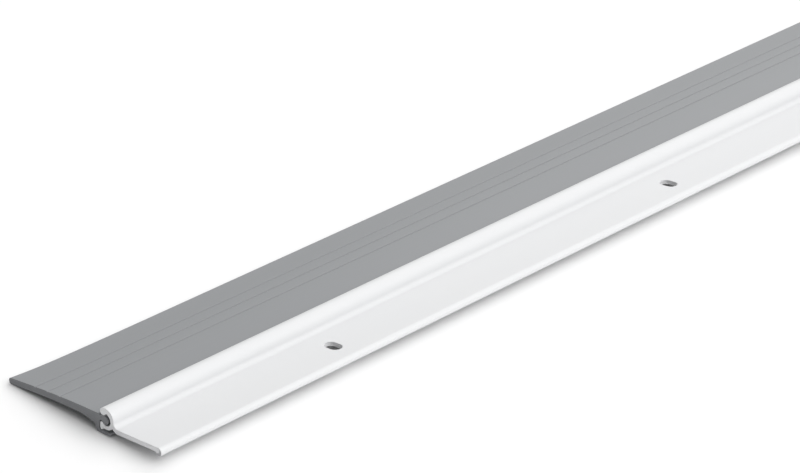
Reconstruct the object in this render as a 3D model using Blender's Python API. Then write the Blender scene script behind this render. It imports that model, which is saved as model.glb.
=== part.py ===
"""Threshold strip: a soft sealing lip whose bulb turns in the round socket of an aluminium carrier.

Both pieces are straight extrusions along X. Sections are drawn in millimetres in a (y, z) plane,
y towards the lip's tip and z up. The strip lies on a flat floor at z = 0: the lip's tip and the
outer corner of its foot touch the floor, and they hold the carrier's flange a little nose-up.
"""

from math import acos, asin, atan2, cos, degrees, hypot, pi, radians, sin, sqrt

import bmesh
import bpy
from mathutils import Matrix

MM = 0.001

# The whole strip
LENGTH = 1000.0
NOSE_LIFT = 4.6  # degrees, the flange's slope up towards its nose
HINGE_HEIGHT = 6.5  # the bulb's centre above the floor

# Lip, measured from the hinge axis
BULB_RADIUS = 1.7
NECK_UNDER = -0.9
NECK_TOP = 1.1  # at the bulb
NECK_AT_HEEL = (3.15, 0.65)
HEEL_CORNER = (3.8, 1.62)
TIP_CENTRE = (52.95, -5.1)
TIP_RADIUS = 1.4
TIP_LEAN = 8.6  # degrees, the blade's slope where it meets the tip
CROWN_SAG = 0.65  # how far the blade's top bows above its chord
ARCH_TOP = (13.2, -2.35)
ARCH_SAG = 0.67
LEG_OUTER_TOP = (5.95, -3.45)
LEG_FOOT_CORNER = (4.85, -HINGE_HEIGHT)
LEG_INNER_TOP = 3.35
LEG_THICKNESS = 1.35  # at the foot
FOOT_LENGTH = 7.6
FOOT_THICKNESS = 1.25
GROOVES = (25.8, 32.9, 39.8)
GROOVE_WIDTH = 0.8
GROOVE_DEPTH = 0.3

# Carrier, measured from the socket's centre with the flange level
SOCKET_FROM_HINGE = (-0.37, 0.36)
SOCKET_RADIUS = 2.6
RING_CENTRE = (0.0, 0.3)
RING_RADIUS = 4.5
UPPER_LIP_RADIUS = 1.45
UPPER_LIP_ANGLE = 63.0
FIN_TOP = (2.55, -2.35)
FIN_TOP_RADIUS = 0.95
FIN_FOOT = (2.85, -3.9)
FIN_FOOT_RADIUS = 0.9
FLANGE_TOP = -2.3
FLANGE_THICKNESS = 2.0
FILLET_RADIUS = 2.0
NOSE_REACH = 30.7
NOSE_RADIUS = 1.7  # the flange ends in a bead, thicker than itself

# Screw slots, across the flange
SLOT_COUNT = 5
SLOT_PITCH = LENGTH / SLOT_COUNT
SLOT_WIDTH = 5.2
SLOT_LENGTH = 8.4
SLOT_FROM_SOCKET = 18.3

# Section (x, y) onto world (y, z), with the extrusion along X
SECTION_TO_WORLD = Matrix.Rotation(pi / 2, 4, "Z") @ Matrix.Rotation(pi / 2, 4, "X")


def on_circle(centre, radius, angle):
    return centre[0] + radius * cos(radians(angle)), centre[1] + radius * sin(radians(angle))


def arc(centre, radius, start, end, steps):
    """Points on a circle, from one angle to another in degrees."""
    return [on_circle(centre, radius, start + (end - start) * i / steps) for i in range(steps + 1)]


def bearing(centre, point):
    return degrees(atan2(point[1] - centre[1], point[0] - centre[0]))


def distance(a, b):
    return hypot(b[0] - a[0], b[1] - a[1])


def crossing(centre, radius, other, other_radius, side):
    """Where two circles cross, on the left of the line between their centres for side 1, else -1."""
    apart = distance(centre, other)
    spread = acos((radius**2 + apart**2 - other_radius**2) / (2 * radius * apart))
    angle = radians(bearing(centre, other)) + side * spread
    return centre[0] + radius * cos(angle), centre[1] + radius * sin(angle)


def rounded(before, corner, after, radius, steps=5):
    """The arc that rounds a corner between two straight runs."""
    to_before, to_after = bearing(corner, before), bearing(corner, after)
    turn = (to_after - to_before + 180) % 360 - 180
    middle = radians(to_before + turn / 2)
    reach = radius / sin(radians(abs(turn) / 2))
    centre = (corner[0] + reach * cos(middle), corner[1] + reach * sin(middle))
    side = 1 if turn > 0 else -1
    start = to_before - 90 * side
    return arc(centre, radius, start, start - side * (180 - abs(turn)), steps)


def bow(start, end, sag, steps):
    """Points from start to end on an arc that stands sag to the left of the straight line."""
    chord = distance(start, end)
    radius = (chord**2 / 4 + sag**2) / (2 * abs(sag))
    side = 1 if sag > 0 else -1
    across = radians(bearing(start, end) + 90 * side)
    middle = ((start[0] + end[0]) / 2, (start[1] + end[1]) / 2)
    drop = radius - abs(sag)
    centre = (middle[0] - drop * cos(across), middle[1] - drop * sin(across))
    first = bearing(centre, start)
    turn = (bearing(centre, end) - first + 180) % 360 - 180
    return arc(centre, radius, first, first + turn, steps)


def carrier_section():
    """Nose, flange, ring with its upper lip, socket and lower fin, in that order round the outline."""
    underside = FLANGE_TOP - FLANGE_THICKNESS
    fillet_height = FLANGE_TOP + FILLET_RADIUS
    spread = RING_RADIUS + FILLET_RADIUS
    fillet = (-sqrt(spread**2 - (RING_CENTRE[1] - fillet_height) ** 2), fillet_height)
    outer_bend = FILLET_RADIUS + FLANGE_THICKNESS
    notch = crossing(RING_CENTRE, RING_RADIUS, fillet, outer_bend, 1)
    nose = (NOSE_RADIUS - NOSE_REACH, FLANGE_TOP - NOSE_RADIUS)
    nose_root = 360 + degrees(asin((underside - nose[1]) / NOSE_RADIUS))
    upper_lip = on_circle(RING_CENTRE, RING_RADIUS - UPPER_LIP_RADIUS, UPPER_LIP_ANGLE)
    mouth_top = crossing((0, 0), SOCKET_RADIUS, upper_lip, UPPER_LIP_RADIUS, 1)
    mouth_foot = crossing((0, 0), SOCKET_RADIUS, FIN_TOP, FIN_TOP_RADIUS, -1)
    fin_side = bearing(FIN_FOOT, FIN_TOP) - 90
    ring_bottom = RING_CENTRE[1] - RING_RADIUS
    fin_root = -180 - degrees(asin((ring_bottom - FIN_FOOT[1]) / FIN_FOOT_RADIUS))
    return [
        *arc(fillet, outer_bend, bearing(fillet, notch), -90, 5),
        *arc(nose, NOSE_RADIUS, nose_root, 90, 12),
        *arc(fillet, FILLET_RADIUS, -90, bearing(fillet, RING_CENTRE), 7),
        *arc(RING_CENTRE, RING_RADIUS, 180 + bearing(fillet, RING_CENTRE), UPPER_LIP_ANGLE, 14)[1:],
        *arc(upper_lip, UPPER_LIP_RADIUS, UPPER_LIP_ANGLE, bearing(upper_lip, mouth_top), 12)[1:],
        *arc((0, 0), SOCKET_RADIUS, bearing((0, 0), mouth_top), 360 + bearing((0, 0), mouth_foot), 18)[1:],
        *arc(FIN_TOP, FIN_TOP_RADIUS, bearing(FIN_TOP, mouth_foot), fin_side, 8)[1:],
        *arc(FIN_FOOT, FIN_FOOT_RADIUS, fin_side, fin_root, 8),
        *arc(RING_CENTRE, RING_RADIUS, -90, bearing(RING_CENTRE, notch), 5)[:-1],
    ]


def groove_depth(y):
    return max(0.0, *(GROOVE_DEPTH * (1 - abs(y - groove) / (GROOVE_WIDTH / 2)) for groove in GROOVES))


def blade_top(heel, tip_top):
    """The crowned top of the blade, from heel to tip, with its three V grooves."""
    smooth = bow(heel, tip_top, CROWN_SAG, 18)
    marks = [groove + step for groove in GROOVES for step in (-GROOVE_WIDTH / 2, 0, GROOVE_WIDTH / 2)]
    points = []
    for (y0, z0), (y1, z1) in zip(smooth, smooth[1:]):
        for y in sorted({y0, *(mark for mark in marks if y0 < mark < y1)}):
            height = z0 + (z1 - z0) * (y - y0) / (y1 - y0)
            points.append((y, height - groove_depth(y)))
    return [*points, smooth[-1]]


def lip_section():
    """Foot, leg, neck and bulb, heel, blade top, tip and arch, in that order round the outline."""
    slope = radians(NOSE_LIFT)

    def on_foot(along, up):
        """The foot runs parallel to the flange."""
        return (
            LEG_FOOT_CORNER[0] - along * cos(slope) + up * sin(slope),
            LEG_FOOT_CORNER[1] + along * sin(slope) + up * cos(slope),
        )

    foot_end, foot_end_top = on_foot(FOOT_LENGTH, 0), on_foot(FOOT_LENGTH, FOOT_THICKNESS)
    foot_root, leg_top = on_foot(LEG_THICKNESS, FOOT_THICKNESS), (LEG_INNER_TOP, NECK_UNDER)
    under_angle = degrees(asin(NECK_UNDER / BULB_RADIUS))
    over_angle = degrees(asin(NECK_TOP / BULB_RADIUS)) - 360
    bulb = arc((0, 0), BULB_RADIUS, under_angle, over_angle, 20)
    tip = arc(TIP_CENTRE, TIP_RADIUS, 90 - TIP_LEAN, -90 - TIP_LEAN, 10)
    top = blade_top(HEEL_CORNER, tip[0])
    under = bow(tip[-1], ARCH_TOP, -ARCH_SAG, 12)
    return [
        *rounded(LEG_OUTER_TOP, LEG_FOOT_CORNER, foot_end, 0.4),
        *rounded(LEG_FOOT_CORNER, foot_end, foot_end_top, 0.5),
        *rounded(foot_end, foot_end_top, foot_root, 0.5),
        *rounded(foot_end_top, foot_root, leg_top, 0.35),
        *rounded(foot_root, leg_top, bulb[0], 0.35),
        *bulb,
        *rounded(bulb[-1], NECK_AT_HEEL, HEEL_CORNER, 0.3),
        *rounded(NECK_AT_HEEL, HEEL_CORNER, top[1], 0.35),
        *top[1:],
        *tip[1:],
        *under[1:-1],
        *rounded(under[-2], ARCH_TOP, LEG_OUTER_TOP, 12.0, 3),
        *rounded(ARCH_TOP, LEG_OUTER_TOP, LEG_FOOT_CORNER, 1.3),
    ]


def collection(name):
    made = bpy.data.collections.new(name)
    bpy.context.scene.collection.children.link(made)
    return made


def material(name, colour, roughness, metallic=0.0):
    made = bpy.data.materials.new(name)
    made.use_nodes = True
    shader = made.node_tree.nodes["Principled BSDF"]
    shader.inputs["Base Color"].default_value = (*colour, 1.0)
    shader.inputs["Roughness"].default_value = roughness
    shader.inputs["Metallic"].default_value = metallic
    return made


def extruded(name, section, length, matrix, into):
    """A closed mesh object: the flat outline, filled and extruded half the length each way."""
    curve = bpy.data.curves.new(name, "CURVE")
    curve.dimensions = "2D"
    curve.fill_mode = "BOTH"
    curve.extrude = length / 2 * MM
    spline = curve.splines.new("POLY")
    spline.points.add(len(section) - 1)
    for point, (x, y) in zip(spline.points, section):
        point.co = (x * MM, y * MM, 0, 1)
    spline.use_cyclic_u = True
    outline = bpy.data.objects.new(name + "_outline", curve)
    into.objects.link(outline)
    outline.matrix_world = matrix
    bpy.context.view_layer.update()
    evaluated = outline.evaluated_get(bpy.context.evaluated_depsgraph_get())
    solid = bpy.data.objects.new(name, bpy.data.meshes.new_from_object(evaluated))
    solid.data.name = name
    into.objects.link(solid)
    solid.matrix_world = outline.matrix_world
    bpy.data.objects.remove(outline)
    weld(solid.data)
    return solid


def weld(mesh):
    """Joins the extrusion's loose caps to its sides."""
    shape = bmesh.new()
    shape.from_mesh(mesh)
    bmesh.ops.remove_doubles(shape, verts=shape.verts, dist=0.001 * MM)
    bmesh.ops.recalc_face_normals(shape, faces=shape.faces)
    shape.to_mesh(mesh)
    shape.free()
    mesh.shade_smooth()
    mesh.set_sharp_from_angle(angle=radians(28))


def slot_outline():
    """A slot along y with round ends."""
    radius = SLOT_WIDTH / 2
    half = SLOT_LENGTH / 2 - radius
    return [*arc((0, half), radius, 0, 180, 10), *arc((0, -half), radius, 180, 360, 10)]


def build_carrier(frame, parts, cutters):
    solid = extruded("carrier_profile", carrier_section(), LENGTH, frame @ SECTION_TO_WORLD, parts)
    solid.data.materials.append(material("white_powder_coat", (0.86, 0.87, 0.87), 0.42, 0.0))
    level = FLANGE_TOP - FLANGE_THICKNESS / 2
    for i in range(SLOT_COUNT):
        x = (i + 0.5) * SLOT_PITCH - LENGTH / 2
        place = Matrix.Translation((x * MM, -SLOT_FROM_SOCKET * MM, level * MM))
        depth = FLANGE_THICKNESS + 4
        cutter = extruded(f"slot_cutter_{i + 1}", slot_outline(), depth, frame @ place, cutters)
        cutter.hide_render = True
        cutter.display_type = "WIRE"
        cut = solid.modifiers.new(f"slot_{i + 1}", "BOOLEAN")
        cut.operation = "DIFFERENCE"
        cut.solver = "EXACT"
        cut.object = cutter
    return solid


def build_lip(frame, parts):
    solid = extruded("seal_lip", lip_section(), LENGTH, frame @ SECTION_TO_WORLD, parts)
    solid.data.materials.append(material("grey_soft_pvc", (0.33, 0.35, 0.36), 0.5))
    return solid


def main():
    for thing in list(bpy.data.objects):
        bpy.data.objects.remove(thing)
    parts, cutters = collection("threshold_strip"), collection("cutters")
    cutters.hide_render = True
    # The strip's width is centred on y = 0.
    tip_reach = TIP_CENTRE[0] + TIP_RADIUS
    slope = radians(NOSE_LIFT)
    nose_reach = (
        (NOSE_REACH - NOSE_RADIUS) * cos(slope) - (FLANGE_TOP - NOSE_RADIUS) * sin(slope)
        + NOSE_RADIUS - SOCKET_FROM_HINGE[0]
    )
    hinge_y = (nose_reach - tip_reach) / 2
    hinge = Matrix.Translation((0, hinge_y * MM, HINGE_HEIGHT * MM))
    socket = Matrix.Translation((0, SOCKET_FROM_HINGE[0] * MM, SOCKET_FROM_HINGE[1] * MM))
    build_carrier(hinge @ socket @ Matrix.Rotation(-slope, 4, "X"), parts, cutters)
    build_lip(hinge, parts)


main()
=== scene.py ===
"""Threshold strip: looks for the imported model, in metres, with the sections drawn in millimetres."""

from math import acos, asin, atan2, cos, degrees, exp, hypot, pi, radians, sin, sqrt

import bmesh
import bpy
from mathutils import Matrix, Vector


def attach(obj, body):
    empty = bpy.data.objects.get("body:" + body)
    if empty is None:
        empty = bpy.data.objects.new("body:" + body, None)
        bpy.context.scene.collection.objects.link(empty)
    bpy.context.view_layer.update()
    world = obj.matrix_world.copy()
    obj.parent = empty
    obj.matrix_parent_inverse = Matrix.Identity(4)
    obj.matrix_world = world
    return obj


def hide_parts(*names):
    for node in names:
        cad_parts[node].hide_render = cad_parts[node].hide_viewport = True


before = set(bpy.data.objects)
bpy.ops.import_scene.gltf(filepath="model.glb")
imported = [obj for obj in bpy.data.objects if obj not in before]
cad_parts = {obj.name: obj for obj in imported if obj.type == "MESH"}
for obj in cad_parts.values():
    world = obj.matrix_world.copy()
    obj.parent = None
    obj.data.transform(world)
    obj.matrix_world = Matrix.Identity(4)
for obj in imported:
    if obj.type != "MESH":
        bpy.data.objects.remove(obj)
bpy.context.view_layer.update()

MM = 0.001
LENGTH = 1000.0
SLOPE = radians(4.6)  # how steeply the flange and the foot plate rise towards the nose
HINGE_HEIGHT = 6.5

# Lip, in millimetres from the hinge axis: towards the blade's tip, and up
BULB_RADIUS = 1.7
NECK_UNDER = -0.9
NECK_TOP = 1.1
NECK_AT_HEEL = (3.15, 0.65)
HEEL_CORNER = (3.8, 1.62)
TIP_CENTRE = (52.95, -5.1)
TIP_RADIUS = 1.4
TIP_LEAN = 8.6
CROWN_SAG = 0.65
CROWN_STEPS = 60
ARCH_TOP = (13.2, -2.35)
ARCH_SAG = 0.67
ARCH_STEPS = 40
LEG_OUTER_TOP = (5.95, -3.45)
LEG_FOOT_CORNER = (4.85, -HINGE_HEIGHT)
LEG_INNER_TOP = 3.35
LEG_THICKNESS = 1.35
FOOT_LENGTH = 7.6
FOOT_THICKNESS = 1.25
FOOT_HEEL_CORNER = 0.4
FOOT_END_CORNER = 0.5
INNER_CORNER = 0.35
NECK_CORNER = 0.3
HEEL_TOP_CORNER = 0.35
ARCH_END_BEND = 12.0
LEG_TOP_BEND = 1.3
LIP_EDGE = 0.06  # how far its cut ends' edges are broken
GROOVES = (25.8, 32.9, 39.8)
GROOVE_HALF = 0.75  # half its width
GROOVE_DEPTH = 0.34
GROOVE_STEPS = 6  # across half a groove
# how much darker the grooves' colour is: painted shade in the grooves
GROOVE_PAINTED_SHADE = 0.85
GROOVE_MARKED = 0.07  # a face deeper than this takes the grooves' painted shade
GROOVES_ABOVE = -2.6  # between the grooved top and the arch under it
TIP_FLARE = 1.9  # how far the soft tip spreads at a cut end
FLARE_LENGTH = 14.0  # along the bar, to fall to a third
FLARE_FROM = 22.0  # across the bar, where it starts

# Carrier, in the same directions from the socket's centre, with the flange level
SOCKET_FROM_HINGE = (-0.37, 0.36)
SOCKET_RADIUS = 2.6
RING_CENTRE = (0.0, 0.3)
RING_RADIUS = 4.5
UPPER_LIP_RADIUS = 1.45
UPPER_LIP_ANGLE = 63.0
FIN_TOP = (2.55, -2.35)
FIN_TOP_RADIUS = 0.95
FIN_FOOT = (2.85, -3.9)
FIN_FOOT_RADIUS = 0.9
FLANGE_TOP = -2.3
FLANGE_THICKNESS = 2.0
FILLET_RADIUS = 2.0
NOSE_REACH = 30.7
NOSE_RADIUS = 1.7  # the flange ends in a bead, thicker than itself
CARRIER_EDGE = 0.12  # how far its cut ends' edges are broken

SLOT_COUNT = 5
SLOT_WIDTH = 5.2
SLOT_LENGTH = 8.4
SLOT_FROM_SOCKET = 18.3
SLOT_EDGE = 0.22  # the radius of its rounded rim
SLOT_END_STEPS = 24

SECTION_TO_WORLD = Matrix.Rotation(pi / 2, 4, "Z") @ Matrix.Rotation(pi / 2, 4, "X")
FINE = 0.16  # about the step along a curve of a section
CLOSEST = 0.004  # points of a section nearer than this are one

# Stage, in metres
ROOM_DIM_UNTIL = -0.35  # cosine of the angle from the brightest direction
ROOM_SEEN = 0.95  # strength, where the camera sees it
LENS = 147.7
CAMERA_PLACE = (-1.1746, -0.8282, 0.6218)
CAMERA_DIRECTION = (0.6350, 0.6242, -0.4552)


def on_circle(centre, radius, angle):
    return centre[0] + radius * cos(radians(angle)), centre[1] + radius * sin(radians(angle))


def arc(centre, radius, start, end):
    steps = max(4, round(abs(radians(end - start)) * radius / FINE))
    return [on_circle(centre, radius, start + (end - start) * i / steps) for i in range(steps + 1)]


def bearing(centre, point):
    return degrees(atan2(point[1] - centre[1], point[0] - centre[0]))


def distance(a, b):
    return hypot(b[0] - a[0], b[1] - a[1])


def crossing(centre, radius, other, other_radius, side):
    """Where two circles cross, with side 1 or -1 to choose which of the two points."""
    apart = distance(centre, other)
    spread = acos((radius**2 + apart**2 - other_radius**2) / (2 * radius * apart))
    angle = radians(bearing(centre, other)) + side * spread
    return centre[0] + radius * cos(angle), centre[1] + radius * sin(angle)


def rounded(before, corner, after, radius):
    """The arc that rounds the corner between two straight lines."""
    to_before, to_after = bearing(corner, before), bearing(corner, after)
    turn = (to_after - to_before + 180) % 360 - 180
    middle = radians(to_before + turn / 2)
    reach = radius / sin(radians(abs(turn) / 2))
    centre = (corner[0] + reach * cos(middle), corner[1] + reach * sin(middle))
    side = 1 if turn > 0 else -1
    start = to_before - 90 * side
    return arc(centre, radius, start, start - side * (180 - abs(turn)))


def bow(start, end, sag, steps):
    """A shallow arc that leaves its chord by sag, to the left where sag is positive."""
    chord = distance(start, end)
    radius = (chord**2 / 4 + sag**2) / (2 * abs(sag))
    side = 1 if sag > 0 else -1
    across = radians(bearing(start, end) + 90 * side)
    middle = ((start[0] + end[0]) / 2, (start[1] + end[1]) / 2)
    drop = radius - abs(sag)
    centre = (middle[0] - drop * cos(across), middle[1] - drop * sin(across))
    first = bearing(centre, start)
    turn = (bearing(centre, end) - first + 180) % 360 - 180
    return [on_circle(centre, radius, first + turn * i / steps) for i in range(steps + 1)]


def carrier_section():
    underside = FLANGE_TOP - FLANGE_THICKNESS
    fillet_height = FLANGE_TOP + FILLET_RADIUS
    spread = RING_RADIUS + FILLET_RADIUS
    fillet = (-sqrt(spread**2 - (RING_CENTRE[1] - fillet_height) ** 2), fillet_height)
    outer_bend = FILLET_RADIUS + FLANGE_THICKNESS
    notch = crossing(RING_CENTRE, RING_RADIUS, fillet, outer_bend, 1)
    nose = (NOSE_RADIUS - NOSE_REACH, FLANGE_TOP - NOSE_RADIUS)
    nose_root = 360 + degrees(asin((underside - nose[1]) / NOSE_RADIUS))
    upper_lip = on_circle(RING_CENTRE, RING_RADIUS - UPPER_LIP_RADIUS, UPPER_LIP_ANGLE)
    mouth_top = crossing((0, 0), SOCKET_RADIUS, upper_lip, UPPER_LIP_RADIUS, 1)
    mouth_foot = crossing((0, 0), SOCKET_RADIUS, FIN_TOP, FIN_TOP_RADIUS, -1)
    fin_side = bearing(FIN_FOOT, FIN_TOP) - 90
    ring_bottom = RING_CENTRE[1] - RING_RADIUS
    fin_root = -180 - degrees(asin((ring_bottom - FIN_FOOT[1]) / FIN_FOOT_RADIUS))
    return [
        *arc(fillet, outer_bend, bearing(fillet, notch), -90),
        *arc(nose, NOSE_RADIUS, nose_root, 90),
        *arc(fillet, FILLET_RADIUS, -90, bearing(fillet, RING_CENTRE)),
        *arc(RING_CENTRE, RING_RADIUS, 180 + bearing(fillet, RING_CENTRE), UPPER_LIP_ANGLE)[1:],
        *arc(upper_lip, UPPER_LIP_RADIUS, UPPER_LIP_ANGLE, bearing(upper_lip, mouth_top))[1:],
        *arc((0, 0), SOCKET_RADIUS, bearing((0, 0), mouth_top), 360 + bearing((0, 0), mouth_foot))[1:],
        *arc(FIN_TOP, FIN_TOP_RADIUS, bearing(FIN_TOP, mouth_foot), fin_side)[1:],
        *arc(FIN_FOOT, FIN_FOOT_RADIUS, fin_side, fin_root),
        *arc(RING_CENTRE, RING_RADIUS, -90, bearing(RING_CENTRE, notch))[:-1],
    ]


def groove_depth(y):
    """A groove has a soft floor and soft shoulders."""
    away = min(abs(y - groove) for groove in GROOVES) / GROOVE_HALF
    return GROOVE_DEPTH * (0.5 + 0.5 * cos(pi * away)) if away < 1 else 0.0


def blade_top(heel, tip_top):
    """The crown with its grooves, and finer points across them."""
    smooth = bow(heel, tip_top, CROWN_SAG, CROWN_STEPS)
    steps = [GROOVE_HALF * i / GROOVE_STEPS for i in range(-GROOVE_STEPS, GROOVE_STEPS + 1)]
    marks = [groove + step for groove in GROOVES for step in steps]
    points = []
    for (y0, z0), (y1, z1) in zip(smooth, smooth[1:]):
        for y in sorted({y0, *(mark for mark in marks if y0 < mark < y1)}):
            height = z0 + (z1 - z0) * (y - y0) / (y1 - y0)
            points.append((y, height - groove_depth(y)))
    return [*points, smooth[-1]]


def lip_section():
    def on_foot(along, up):
        return (
            LEG_FOOT_CORNER[0] - along * cos(SLOPE) + up * sin(SLOPE),
            LEG_FOOT_CORNER[1] + along * sin(SLOPE) + up * cos(SLOPE),
        )

    foot_end, foot_end_top = on_foot(FOOT_LENGTH, 0), on_foot(FOOT_LENGTH, FOOT_THICKNESS)
    foot_root, leg_top = on_foot(LEG_THICKNESS, FOOT_THICKNESS), (LEG_INNER_TOP, NECK_UNDER)
    under_angle = degrees(asin(NECK_UNDER / BULB_RADIUS))
    over_angle = degrees(asin(NECK_TOP / BULB_RADIUS)) - 360
    bulb = arc((0, 0), BULB_RADIUS, under_angle, over_angle)
    tip = arc(TIP_CENTRE, TIP_RADIUS, 90 - TIP_LEAN, -90 - TIP_LEAN)
    top = blade_top(HEEL_CORNER, tip[0])
    under = bow(tip[-1], ARCH_TOP, -ARCH_SAG, ARCH_STEPS)
    return [
        *rounded(LEG_OUTER_TOP, LEG_FOOT_CORNER, foot_end, FOOT_HEEL_CORNER),
        *rounded(LEG_FOOT_CORNER, foot_end, foot_end_top, FOOT_END_CORNER),
        *rounded(foot_end, foot_end_top, foot_root, FOOT_END_CORNER),
        *rounded(foot_end_top, foot_root, leg_top, INNER_CORNER),
        *rounded(foot_root, leg_top, bulb[0], INNER_CORNER),
        *bulb,
        *rounded(bulb[-1], NECK_AT_HEEL, HEEL_CORNER, NECK_CORNER),
        *rounded(NECK_AT_HEEL, HEEL_CORNER, top[1], HEEL_TOP_CORNER),
        *top[1:],
        *tip[1:],
        *under[1:-1],
        *rounded(under[-2], ARCH_TOP, LEG_OUTER_TOP, ARCH_END_BEND),
        *rounded(ARCH_TOP, LEG_OUTER_TOP, LEG_FOOT_CORNER, LEG_TOP_BEND),
    ]


def inset(section, depth):
    """The outline moved inwards by depth."""
    area = sum(x0 * y1 - x1 * y0 for (x0, y0), (x1, y1) in zip(section, section[1:] + section[:1]))
    side = 1 if area > 0 else -1
    moved = []
    for i, here in enumerate(section):
        before, after = section[i - 1], section[(i + 1) % len(section)]
        heading = radians(bearing(before, after) + 90 * side)
        moved.append((here[0] + depth * cos(heading), here[1] + depth * sin(heading)))
    return moved


def distinct(section):
    return [p for i, p in enumerate(section) if distance(p, section[i - 1]) > CLOSEST]


def new_object(name, shape, materials):
    mesh = bpy.data.meshes.new(name)
    shape.to_mesh(mesh)
    shape.free()
    for item in materials:
        mesh.materials.append(item)
    made = bpy.data.objects.new(name, mesh)
    bpy.context.scene.collection.objects.link(made)
    return made


def extrusion(section, edge, matrix, stations=(), bend=None, marked=None):
    """A bar of LENGTH with its cut ends' edges broken.

    bend moves a section point at a station along the bar. Material 1 is on the cut faces, and
    material 2 on the long faces whose section points are marked.
    """
    section = distinct(section)
    half = LENGTH / 2
    small = inset(section, edge)
    rings = [(small, -half), (section, edge - half), *((section, along) for along in stations),
             (section, half - edge), (small, half)]
    shape = bmesh.new()
    loops = []
    for outline, along in rings:
        if bend:
            outline = [bend(point, along) for point in outline]
        loops.append(
            [shape.verts.new(matrix @ Vector((x * MM, y * MM, along * MM))) for x, y in outline]
        )
    for first, second in zip(loops, loops[1:]):
        for i in range(len(first)):
            face = shape.faces.new((first[i - 1], first[i], second[i], second[i - 1]))
            if marked and marked(section[i - 1]) and marked(section[i]):
                face.material_index = 2
    for loop in (loops[0], loops[-1]):
        shape.faces.new(loop).material_index = 1
    bmesh.ops.recalc_face_normals(shape, faces=shape.faces)
    return shape


def slot_cutter(name, matrix):
    """A slot that rounds over the flange's edges, and goes past its two faces."""
    radius = SLOT_WIDTH / 2
    half = SLOT_LENGTH / 2 - radius
    level = FLANGE_THICKNESS / 2
    turns = [radians(angle) for angle in (0, 15, 30, 45, 60, 75)]
    rim = [(SLOT_EDGE * (1 - cos(turn)), level - SLOT_EDGE * (1 - sin(turn))) for turn in turns]
    out, up = rim[-1]
    rim.append((out + 2 * SLOT_EDGE * sin(turns[-1]), up + 2 * SLOT_EDGE * cos(turns[-1])))
    rim.append((rim[-1][0], level + 1))
    profile = [(out, -up) for out, up in reversed(rim)] + rim
    shape = bmesh.new()
    loops = []
    for out, up in profile:
        outline = [
            on_circle((0, middle), radius + out, start + 180 * i / SLOT_END_STEPS)
            for middle, start in ((half, 0), (-half, 180))
            for i in range(SLOT_END_STEPS + 1)
        ]
        loops.append([shape.verts.new(matrix @ Vector((x * MM, y * MM, up * MM))) for x, y in outline])
    for first, second in zip(loops, loops[1:]):
        for i in range(len(first)):
            shape.faces.new((first[i - 1], first[i], second[i], second[i - 1]))
    shape.faces.new(loops[0])
    shape.faces.new(loops[-1])
    bmesh.ops.recalc_face_normals(shape, faces=shape.faces)
    return new_object(name, shape, [])


# ---------------------------------------------------------------- materials


def node_material(name, colour, roughness, metallic=0.0, specular=0.5):
    """colour is flat, and is what shows if nothing is linked to it."""
    made = bpy.data.materials.new(name)
    made.use_nodes = True
    tree = made.node_tree
    shader = tree.nodes["Principled BSDF"]
    shader.inputs["Base Color"].default_value = (*colour, 1.0)
    shader.inputs["Roughness"].default_value = roughness
    shader.inputs["Metallic"].default_value = metallic
    shader.inputs["Specular IOR Level"].default_value = specular
    return made, tree, shader


def millimetres(tree, scale):
    """Object coordinates in millimetres, times scale along each axis."""
    where = tree.nodes.new("ShaderNodeTexCoord")
    mapping = tree.nodes.new("ShaderNodeMapping")
    mapping.inputs["Scale"].default_value = [value / MM for value in scale]
    tree.links.new(where.outputs["Object"], mapping.inputs["Vector"])
    return mapping.outputs["Vector"]


def noise(tree, scale, detail=2.0, rough=0.5):
    made = tree.nodes.new("ShaderNodeTexNoise")
    made.inputs["Scale"].default_value = 1.0
    made.inputs["Detail"].default_value = detail
    made.inputs["Roughness"].default_value = rough
    tree.links.new(millimetres(tree, scale), made.inputs["Vector"])
    return made.outputs["Fac"]


def spread(tree, value, low, high):
    made = tree.nodes.new("ShaderNodeMapRange")
    made.inputs["To Min"].default_value = low
    made.inputs["To Max"].default_value = high
    tree.links.new(value, made.inputs["Value"])
    return made.outputs["Result"]


def ramp(tree, value, start, end):
    """0 below start, 1 above end, smooth between."""
    made = tree.nodes.new("ShaderNodeMapRange")
    made.interpolation_type = "SMOOTHSTEP"
    made.inputs["From Min"].default_value = start
    made.inputs["From Max"].default_value = end
    tree.links.new(value, made.inputs["Value"])
    return made.outputs["Result"]


def combined(tree, operation, *values):
    """Math on two values or more, each a socket or a number."""
    first = values[0]
    for other in values[1:]:
        made = tree.nodes.new("ShaderNodeMath")
        made.operation = operation
        for socket, value in zip(made.inputs, (first, other)):
            if isinstance(value, (int, float)):
                socket.default_value = value
            else:
                tree.links.new(value, socket)
        first = made.outputs["Value"]
    return first


def distance_along(tree, where, start, direction):
    """How far a point is from start along a direction."""
    moved = tree.nodes.new("ShaderNodeVectorMath")
    moved.operation = "SUBTRACT"
    moved.inputs[1].default_value = start
    tree.links.new(where, moved.inputs[0])
    made = tree.nodes.new("ShaderNodeVectorMath")
    made.operation = "DOT_PRODUCT"
    made.inputs[1].default_value = direction
    tree.links.new(moved.outputs["Vector"], made.inputs[0])
    return made.outputs["Value"]


def tinted(tree, value, first, second):
    """From the first colour, or a socket that gives one, to the second."""
    made = tree.nodes.new("ShaderNodeMix")
    made.data_type = "RGBA"
    if isinstance(first, tuple):
        made.inputs["A"].default_value = (*first, 1)
    else:
        tree.links.new(first, made.inputs["A"])
    made.inputs["B"].default_value = (*second, 1)
    tree.links.new(value, made.inputs["Factor"])
    return made.outputs["Result"]


def bumps(tree, shader, heights):
    """Adds (height, distance in mm) pairs as bump, one on another."""
    last = None
    for height, depth in heights:
        made = tree.nodes.new("ShaderNodeBump")
        made.inputs["Strength"].default_value = 1.0
        made.inputs["Distance"].default_value = depth * MM
        tree.links.new(height, made.inputs["Height"])
        if last:
            tree.links.new(last, made.inputs["Normal"])
        last = made.outputs["Normal"]
    tree.links.new(last, shader.inputs["Normal"])


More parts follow.
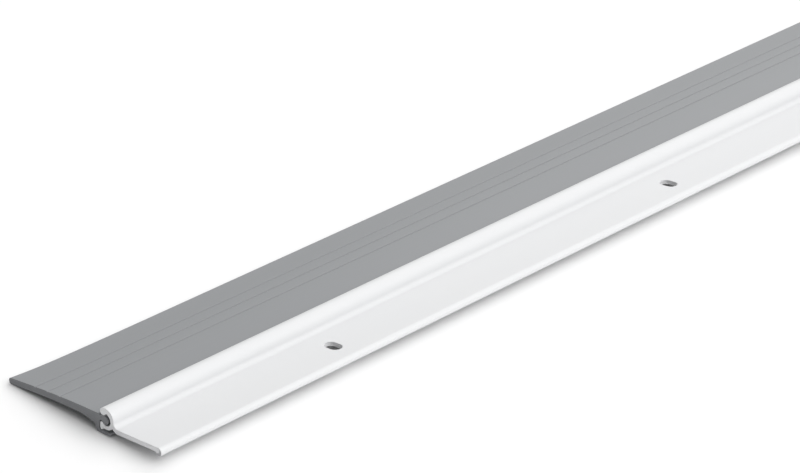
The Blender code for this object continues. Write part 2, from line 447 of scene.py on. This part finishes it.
def powder_coat():
    made, tree, shader = node_material("white_powder_coat", (0.70, 0.705, 0.71), 0.46)
    cloud = spread(tree, noise(tree, (0.03, 0.06, 0.06), 2), 0.3, 0.7)
    colour = tinted(tree, cloud, (0.71, 0.715, 0.73), (0.74, 0.745, 0.745))
    tree.links.new(colour, shader.inputs["Base Color"])
    tree.links.new(spread(tree, noise(tree, (0.4, 0.4, 0.4)), 0.42, 0.52), shader.inputs["Roughness"])
    peel, grain = noise(tree, (1.1, 1.1, 1.1), 1), noise(tree, (6, 6, 6), 1)
    bumps(tree, shader, [(peel, 0.012), (grain, 0.002)])
    return made


def sawn_aluminium():
    """Saw strokes, and painted shade round the bead, outside a core of the flange's thickness."""
    made, tree, shader = node_material("sawn_aluminium", (0.85, 0.86, 0.87), 0.45, 0.35)
    stroke = noise(tree, (1, 0.5, 9), 2, 0.7)
    metal = tinted(tree, stroke, (0.72, 0.725, 0.735), (0.82, 0.825, 0.835))
    core = Vector((0, NOSE_RADIUS - NOSE_REACH, FLANGE_TOP - FLANGE_THICKNESS / 2))
    start = carrier_frame @ (core * MM) / MM
    turned = carrier_frame.to_3x3()
    where = millimetres(tree, (1, 1, 1))
    outwards = distance_along(tree, where, start, turned @ Vector((0, -1, 0)))
    upwards = distance_along(tree, where, start, turned @ Vector((0, 0, 1)))
    core_short = 0.5  # the core ends this far before the bead's middle
    past = combined(tree, "MAXIMUM", combined(tree, "ADD", outwards, core_short), 0.0)
    squares = [combined(tree, "POWER", past, 2.0), combined(tree, "MULTIPLY", upwards, upwards)]
    outside = ramp(tree, combined(tree, "ADD", *squares), 0.5, 2.3)
    on_bead = ramp(tree, outwards, -2.2, -0.8)
    # painted shade: the cut face darkens to grey round the bead's rim and over its lower part
    bead_painted_shade = combined(tree, "MULTIPLY", outside, on_bead)
    tree.links.new(tinted(tree, bead_painted_shade, metal, (0.4, 0.4, 0.41)), shader.inputs["Base Color"])
    bumps(tree, shader, [(stroke, 0.03)])
    return made


def soft_pvc(name, shade):
    """Fine streaks along the bar over a slow cloud. shade darkens the colour, as painted shade in the
    grooves.
    """
    made, tree, shader = node_material(name, (0.26, 0.266, 0.273), 0.42)
    streak = noise(tree, (0.0015, 1.3, 1.3), 3, 0.6)
    cloud = noise(tree, (0.012, 0.05, 0.05), 3)
    both = combined(tree, "ADD", spread(tree, streak, 0, 0.5), spread(tree, cloud, 0, 0.5))
    first = tuple(shade * value for value in (0.234, 0.243, 0.254))
    second = tuple(shade * value for value in (0.264, 0.271, 0.280))
    tree.links.new(tinted(tree, both, first, second), shader.inputs["Base Color"])
    tree.links.new(spread(tree, cloud, 0.37, 0.47), shader.inputs["Roughness"])
    bumps(tree, shader, [(streak, 0.02), (noise(tree, (5, 5, 5), 2), 0.004)])
    return made


def cut_pvc():
    made, tree, shader = node_material("cut_grey_pvc", (0.27, 0.275, 0.285), 0.62)
    stroke = noise(tree, (1, 7, 0.8), 2, 0.6)
    colour = tinted(tree, stroke, (0.195, 0.2, 0.21), (0.235, 0.241, 0.252))
    tree.links.new(colour, shader.inputs["Base Color"])
    bumps(tree, shader, [(stroke, 0.03)])
    return made


# ---------------------------------------------------------------- pieces

# The strip is centred across its width at rest.
tip_reach = TIP_CENTRE[0] + TIP_RADIUS
nose_reach = (
    (NOSE_REACH - NOSE_RADIUS) * cos(SLOPE) - (FLANGE_TOP - NOSE_RADIUS) * sin(SLOPE)
    + NOSE_RADIUS - SOCKET_FROM_HINGE[0]
)
hinge_y = (nose_reach - tip_reach) / 2
hinge = Matrix.Translation((0, hinge_y * MM, HINGE_HEIGHT * MM))
socket = Matrix.Translation((0, SOCKET_FROM_HINGE[0] * MM, SOCKET_FROM_HINGE[1] * MM))
carrier_frame = hinge @ socket @ Matrix.Rotation(-SLOPE, 4, "X")


def finish_piece(piece, body, node):
    piece.data.shade_smooth()
    piece.data.set_sharp_from_angle(angle=radians(30))
    weighted = piece.modifiers.new("weighted", "WEIGHTED_NORMAL")
    weighted.keep_sharp = True
    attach(piece, body)
    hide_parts(node)


def make_carrier():
    shape = extrusion(carrier_section(), CARRIER_EDGE, carrier_frame @ SECTION_TO_WORLD)
    blank = new_object("carrier_blank", shape, [powder_coat(), sawn_aluminium()])
    level = FLANGE_TOP - FLANGE_THICKNESS / 2
    cutters = []
    for i in range(SLOT_COUNT):
        x = (i + 0.5) * LENGTH / SLOT_COUNT - LENGTH / 2
        place = Matrix.Translation((x * MM, -SLOT_FROM_SOCKET * MM, level * MM))
        cutter = slot_cutter(f"cutter_{i}", carrier_frame @ place)
        cut = blank.modifiers.new(f"slot_{i}", "BOOLEAN")
        cut.operation = "DIFFERENCE"
        cut.solver = "EXACT"
        cut.object = cutter
        cutters.append(cutter)
    bpy.context.view_layer.update()
    evaluated = blank.evaluated_get(bpy.context.evaluated_depsgraph_get())
    mesh = bpy.data.meshes.new_from_object(evaluated)
    mesh.name = "carrier_extrusion"
    piece = bpy.data.objects.new("carrier_extrusion", mesh)
    bpy.context.scene.collection.objects.link(piece)
    for helper in [blank, *cutters]:
        bpy.data.objects.remove(helper)
    finish_piece(piece, "carrier", "carrier_profile")


def make_lip():
    """The soft blade's tip flares a little at its cut ends, so the stations are close there."""
    from_end = [1, 2, 4, 6, 8, 10, 13, 16, 20, 25, 30, 40, 55]
    near = [LIP_EDGE + depth - LENGTH / 2 for depth in from_end]

    def bend(point, along):
        flare = TIP_FLARE * exp(-(LENGTH / 2 - abs(along)) / FLARE_LENGTH)
        share = min(1, max(0, (point[0] - FLARE_FROM) / (TIP_CENTRE[0] - FLARE_FROM)))
        return point[0] + flare * share**2, point[1]

    def in_groove(point):
        return point[1] > GROOVES_ABOVE and groove_depth(point[0]) > GROOVE_MARKED

    stations = [*near, *(-along for along in reversed(near))]
    shape = extrusion(lip_section(), LIP_EDGE, hinge @ SECTION_TO_WORLD, stations, bend, in_groove)
    # the grooves get a darker copy of the soft PVC: painted shade in the grooves
    finishes = [soft_pvc("grey_soft_pvc", 1.0), cut_pvc(), soft_pvc("grey_pvc_groove_painted_shade", GROOVE_PAINTED_SHADE)]
    piece = new_object("lip_extrusion", shape, finishes)
    finish_piece(piece, "lip", "seal_lip")


make_carrier()
make_lip()

# ---------------------------------------------------------------- stage


def add_floor():
    shape = bmesh.new()
    bmesh.ops.create_grid(shape, x_segments=1, y_segments=1, size=6)
    material, _, _ = node_material("pale_floor", (0.96, 0.96, 0.96), 0.7, 0.0, 0.2)
    new_object("floor", shape, [material])


def add_light(name, place, target, width, depth, power):
    data = bpy.data.lights.new(name, "AREA")
    data.shape = "RECTANGLE"
    data.size = width
    data.size_y = depth
    data.energy = power
    lamp = bpy.data.objects.new(name, data)
    bpy.context.scene.collection.objects.link(lamp)
    lamp.location = place
    lamp.rotation_euler = (Vector(target) - Vector(place)).to_track_quat("-Z", "Y").to_euler()


def add_world(low, high, towards):
    """A soft room, brightest in the direction towards and plain white where the camera sees it."""
    world = bpy.data.worlds.new("studio")
    bpy.context.scene.world = world
    world.use_nodes = True
    tree = world.node_tree
    where = tree.nodes.new("ShaderNodeTexCoord")
    facing = tree.nodes.new("ShaderNodeVectorMath")
    facing.operation = "DOT_PRODUCT"
    facing.inputs[1].default_value = Vector(towards).normalized()
    tree.links.new(where.outputs["Generated"], facing.inputs[0])
    background = tree.nodes["Background"]
    background.inputs["Color"].default_value = (1, 1, 1, 1)
    fade = tree.nodes.new("ShaderNodeMapRange")
    fade.inputs["From Min"].default_value = ROOM_DIM_UNTIL
    fade.inputs["To Min"].default_value = low
    fade.inputs["To Max"].default_value = high
    tree.links.new(facing.outputs["Value"], fade.inputs["Value"])
    seen = tree.nodes.new("ShaderNodeLightPath")
    shown = tree.nodes.new("ShaderNodeMix")
    shown.inputs["B"].default_value = ROOM_SEEN
    tree.links.new(seen.outputs["Is Camera Ray"], shown.inputs["Factor"])
    tree.links.new(fade.outputs["Result"], shown.inputs["A"])
    tree.links.new(shown.outputs["Result"], background.inputs["Strength"])


def add_camera():
    data = bpy.data.cameras.new("camera")
    data.sensor_width = 36
    data.lens = LENS
    data.clip_end = 50
    camera = bpy.data.objects.new("camera", data)
    bpy.context.scene.collection.objects.link(camera)
    camera.location = CAMERA_PLACE
    camera.rotation_euler = Vector(CAMERA_DIRECTION).to_track_quat("-Z", "Y").to_euler()
    bpy.context.scene.camera = camera


add_floor()
add_world(0.02, 1.56, (0.74, -0.3, 0.6))
add_light("front", (0, -1.6, 1.3), (0, 0, 0), 2.0, 1.2, 13)
add_light("far", (1.2, 0.8, 1.1), (0.2, 0, 0), 1.2, 0.8, 4)
add_camera()
bpy.context.scene.view_settings.view_transform = "Standard"
